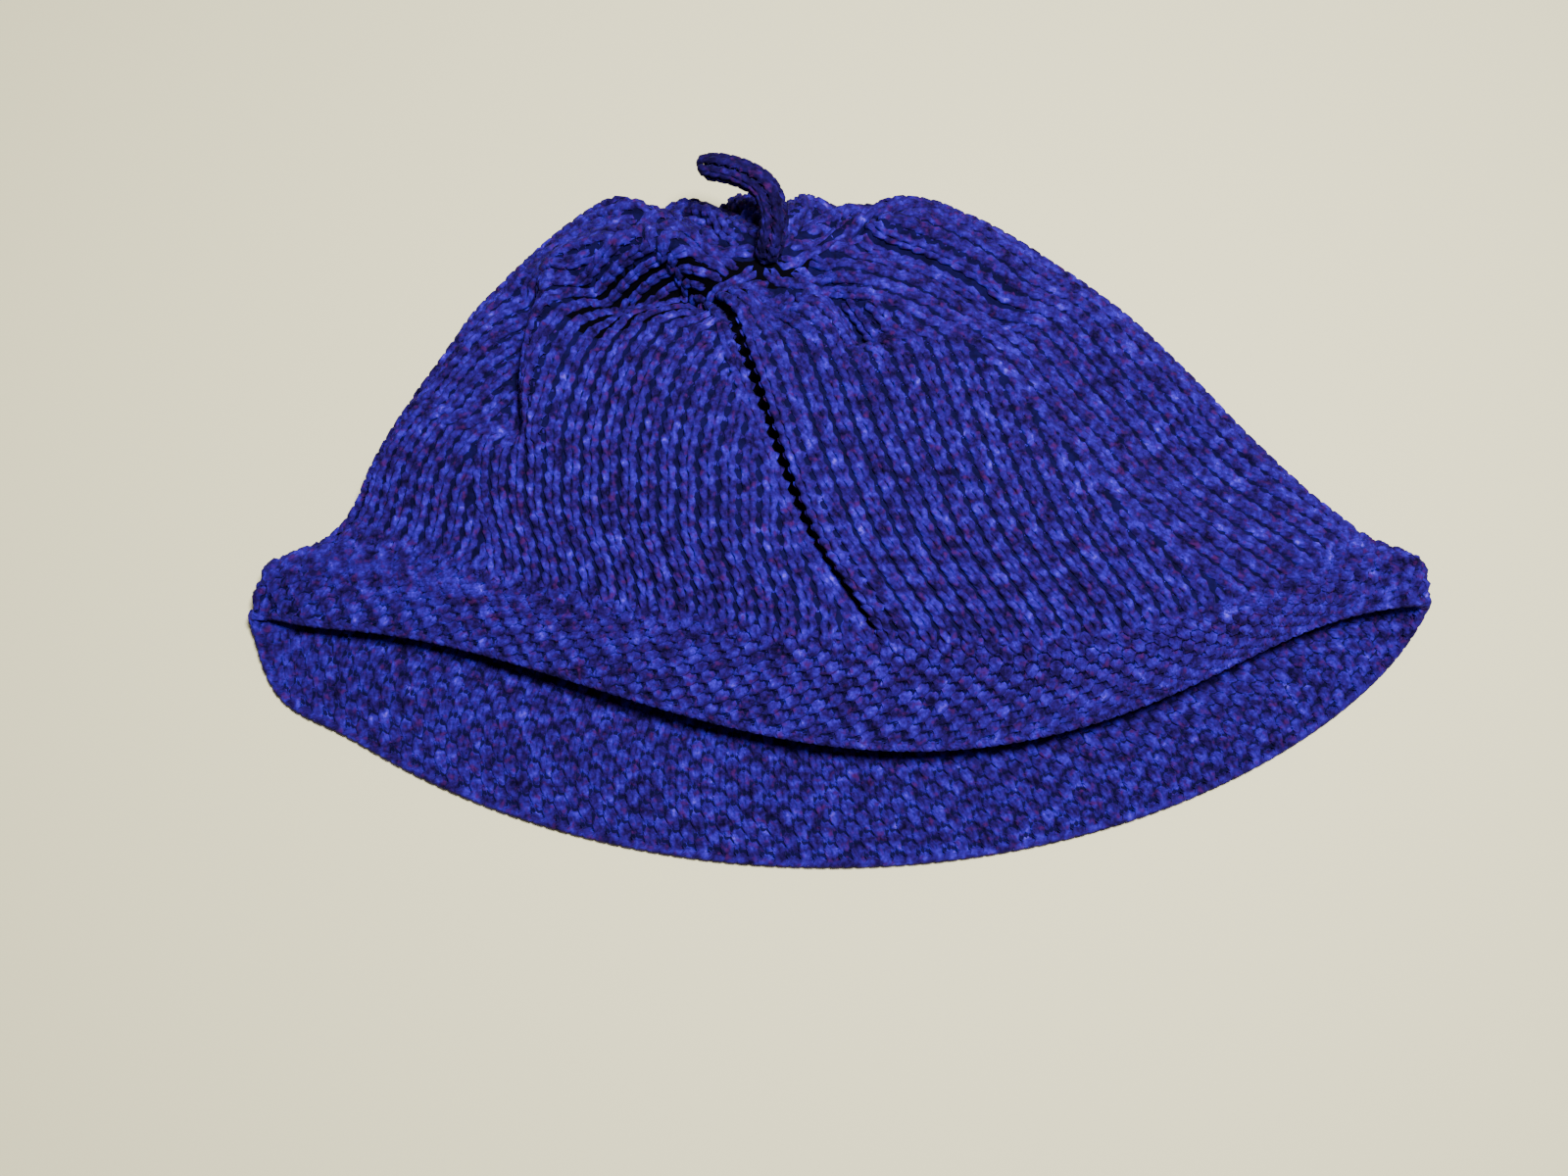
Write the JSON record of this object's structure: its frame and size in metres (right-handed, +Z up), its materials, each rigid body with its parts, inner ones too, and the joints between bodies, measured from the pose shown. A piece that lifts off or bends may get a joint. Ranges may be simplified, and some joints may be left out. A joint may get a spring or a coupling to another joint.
{
  "type": "knitted hat",
  "caption": "Hand-knitted bell hat with a stocking-stitch crown drawn together under a short cord stem and a flared moss-stitch brim, lying flat on its back.",
  "frame": {"origin": "middle of the hat's bounding box, on the table it lies on", "axes": "+X across the hat to the right, +Y from the brim's edge towards the stem, +Z up from the table"},
  "size_m": [0.282, 0.1632, 0.042],
  "materials": {
    "crown_wool": "stocking stitch in heathered violet-blue worsted wool",
    "brim_wool": "moss stitch in the same wool",
    "stem_wool": "narrow knitted cord in a darker length of the same wool"
  },
  "bodies": {
    "root": {"crown": "crown_wool", "brim": "brim_wool", "stem": "stem_wool"}
  },
  "joints": []
}
